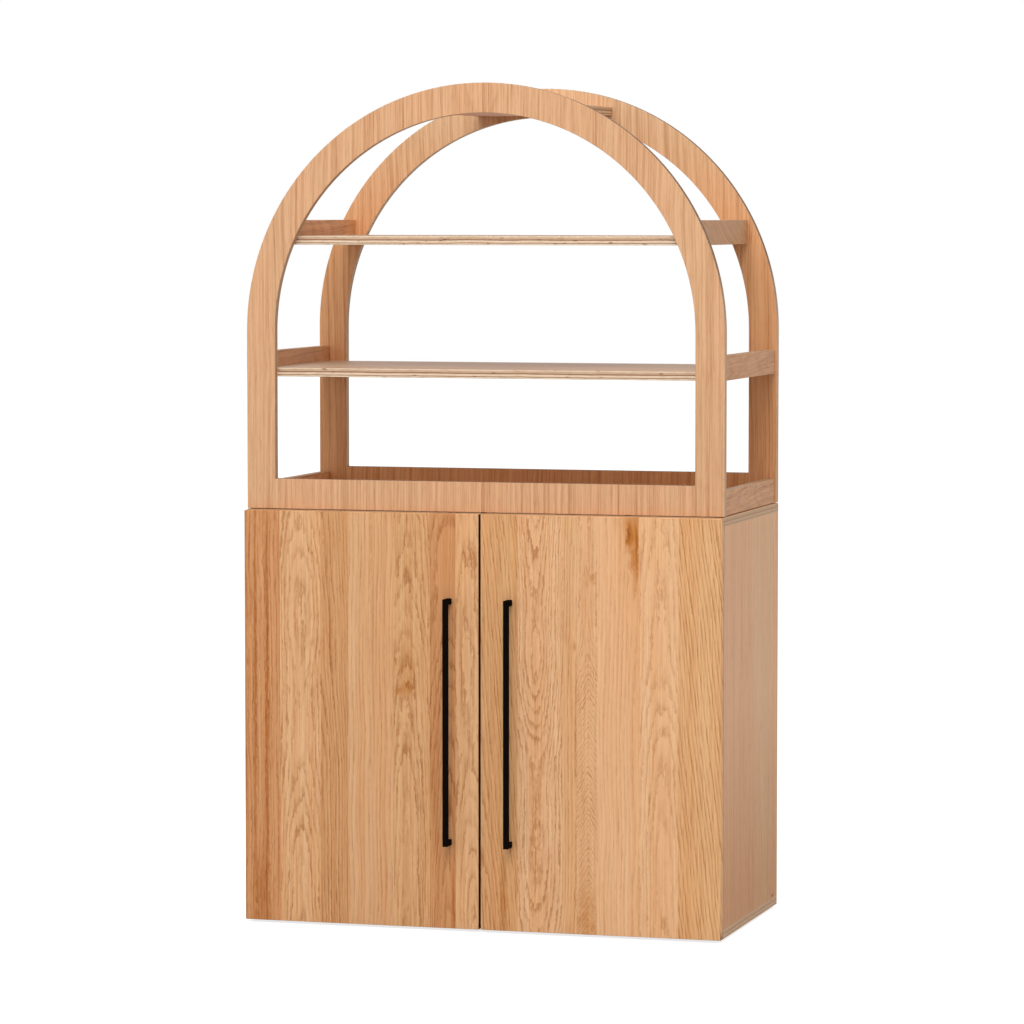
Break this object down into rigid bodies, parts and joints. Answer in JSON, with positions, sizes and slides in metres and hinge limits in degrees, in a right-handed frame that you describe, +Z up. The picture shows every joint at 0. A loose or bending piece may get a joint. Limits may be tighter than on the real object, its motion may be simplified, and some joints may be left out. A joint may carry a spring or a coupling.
{
  "type": "arched hutch cabinet",
  "caption": "Free-standing wooden cabinet: a cupboard with hinged overlay doors and bar handles under an open shelved hutch framed by round-topped arches.",
  "frame": {"origin": "on the floor, under the middle of the whole part's box", "axes": "+X to the right seen from the front, +Y to the back, +Z up; the doors face -Y"},
  "size_m": [1, 0.532, 1.7099],
  "materials": {
    "arch_veneer": "satin clear-coated veneer on plywood",
    "rail_veneer": "satin clear-coated veneer on plywood",
    "shelf_ply": "satin clear-coated plywood with open edges",
    "carcass_veneer": "satin clear-coated veneer on plywood",
    "back_ply": "plain thin plywood",
    "stave_oak": "satin oiled edge-glued oak",
    "black_metal": "fine matt black",
    "hinge_steel": "nickel-plated pressed steel",
    "pin_steel": "bright steel",
    "screw_steel": "zinc-plated steel",
    "dowel_beech": "plain beech",
    "glide_plastic": "dark moulded plastic",
    "bumper_pad": "soft clear pad"
  },
  "bodies": {
    "cabinet": {"front_arch": "arch_veneer", "back_arch": "arch_veneer", "base_rail_left": "rail_veneer", "base_rail_right": "rail_veneer", "lower_rail_left": "rail_veneer", "lower_rail_right": "rail_veneer", "upper_rail_left": "rail_veneer", "upper_rail_right": "rail_veneer", "top_spreader": "rail_veneer", "lower_shelf": "shelf_ply", "upper_shelf": "shelf_ply", "side_panel_left": "carcass_veneer", "side_panel_right": "carcass_veneer", "top_panel": "carcass_veneer", "bottom_panel": "carcass_veneer", "inner_shelf": "carcass_veneer", "back_panel": "back_ply", "hinge_arms_left": "hinge_steel", "hinge_arms_right": "hinge_steel", "hinge_plates_left": "hinge_steel", "hinge_plates_right": "hinge_steel", "hinge_arm_pins_left": "pin_steel", "hinge_arm_pins_right": "pin_steel", "shelf_pins": "pin_steel", "hinge_plate_screws": "screw_steel", "hutch_screws": "screw_steel", "carcass_dowels": "dowel_beech", "hutch_dowels": "dowel_beech", "glides": "glide_plastic", "hutch_spacers": "bumper_pad"},
    "hinge_link_left": {"hinge_links_left": "hinge_steel"},
    "door_left": {"door_left": "stave_oak", "handle_left": "black_metal", "handle_screws_left": "screw_steel", "hinge_cups_left": "hinge_steel", "hinge_cup_pins_left": "pin_steel", "hinge_cup_screws_left": "screw_steel", "door_bumpers_left": "bumper_pad"},
    "hinge_link_right": {"hinge_links_right": "hinge_steel"},
    "door_right": {"door_right": "stave_oak", "handle_right": "black_metal", "handle_screws_right": "screw_steel", "hinge_cups_right": "hinge_steel", "hinge_cup_pins_right": "pin_steel", "hinge_cup_screws_right": "screw_steel", "door_bumpers_right": "bumper_pad"}
  },
  "joints": [
    {"name": "left_link_pivot", "type": "hinge", "parent": "cabinet", "child": "hinge_link_left", "pos_m": [-0.462, -0.209, 0.426], "axis": [0, 0, -1], "range_deg": [-38, 0]},
    {"name": "left_door_pivot", "type": "hinge", "parent": "hinge_link_left", "child": "door_left", "pos_m": [-0.488, -0.22, 0.426], "axis": [0, 0, -1], "range_deg": [0, 143]},
    {"name": "right_link_pivot", "type": "hinge", "parent": "cabinet", "child": "hinge_link_right", "pos_m": [0.462, -0.209, 0.426], "axis": [0, 0, 1], "range_deg": [-38, 0]},
    {"name": "right_door_pivot", "type": "hinge", "parent": "hinge_link_right", "child": "door_right", "pos_m": [0.488, -0.22, 0.426], "axis": [0, 0, 1], "range_deg": [0, 143]}
  ],
  "couplings": [
    {"joint": "left_link_pivot", "follows": "left_door_pivot", "ratio": -0.2657},
    {"joint": "right_link_pivot", "follows": "right_door_pivot", "ratio": -0.2657}
  ]
}
